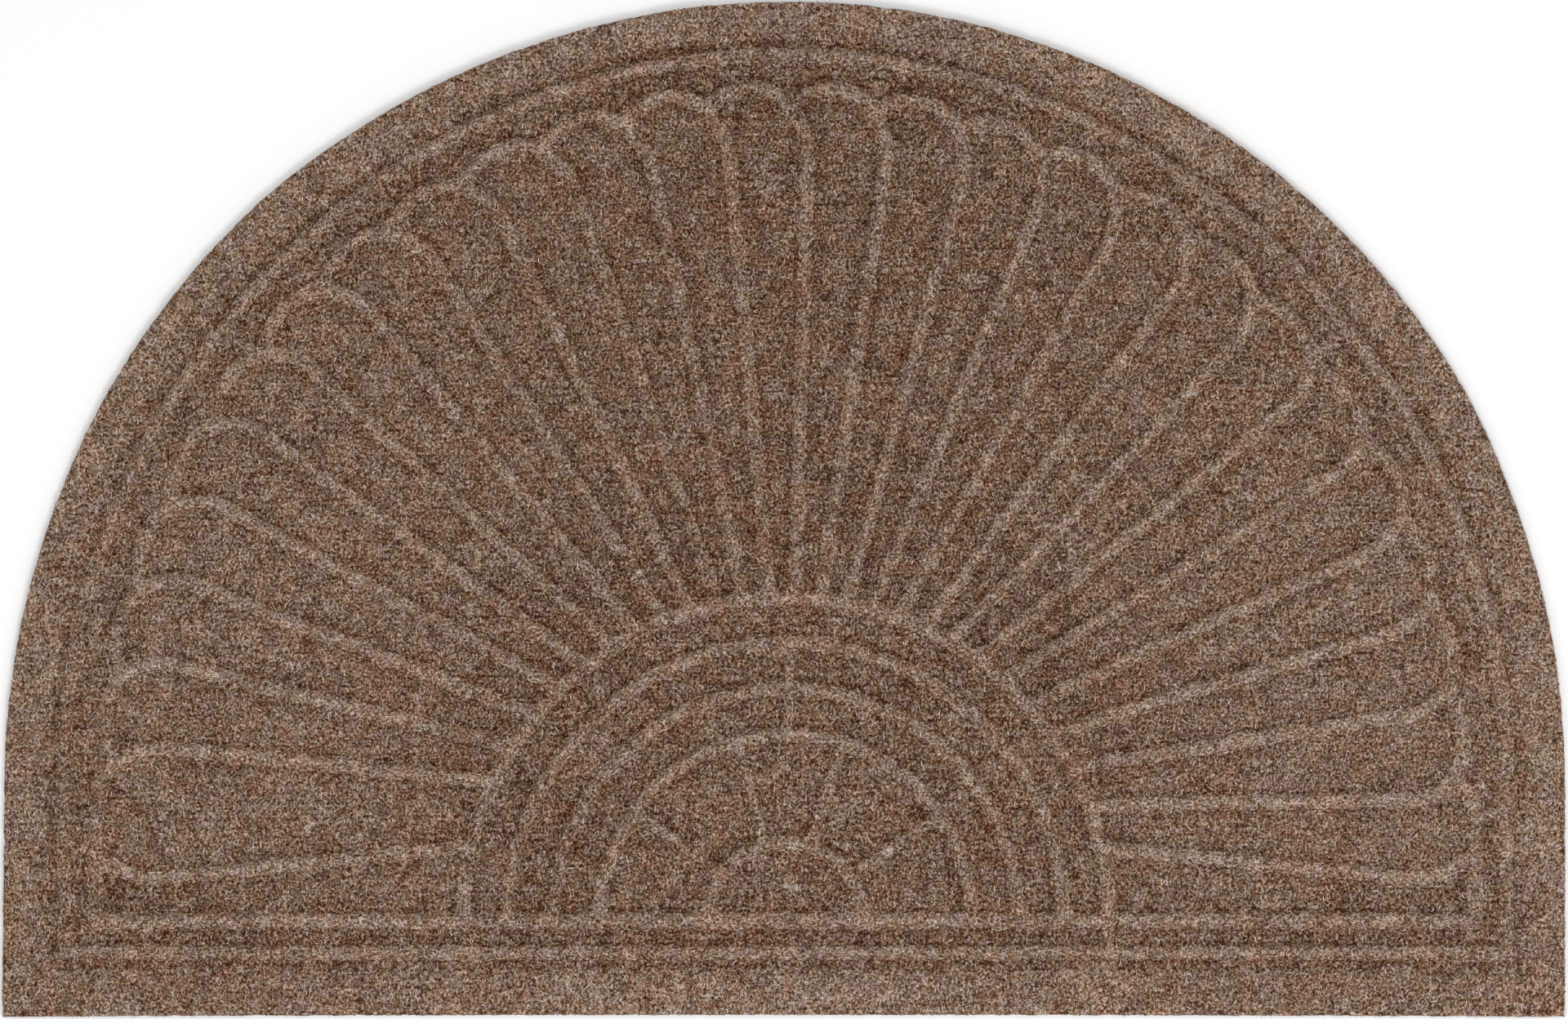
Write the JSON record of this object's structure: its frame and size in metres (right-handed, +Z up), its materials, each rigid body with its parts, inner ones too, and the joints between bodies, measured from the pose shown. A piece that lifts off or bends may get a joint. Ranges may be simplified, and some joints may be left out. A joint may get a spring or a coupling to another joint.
{
  "type": "half-round doormat",
  "caption": "Flat half-round doormat of moulded brown fibre, with a fanlight of petals, arches and a frame raised in its top face.",
  "frame": {"origin": "middle of the bounding box, on the flat underside that the mat lies on", "axes": "+Z up out of the patterned face, +X along the straight edge, +Y from the straight edge towards the crown of the dome"},
  "size_m": [0.914, 0.5938, 0.009],
  "materials": {
    "mat": "heathered brown needled fibre, matt"
  },
  "bodies": {
    "root": {"mat": "mat"}
  },
  "joints": []
}
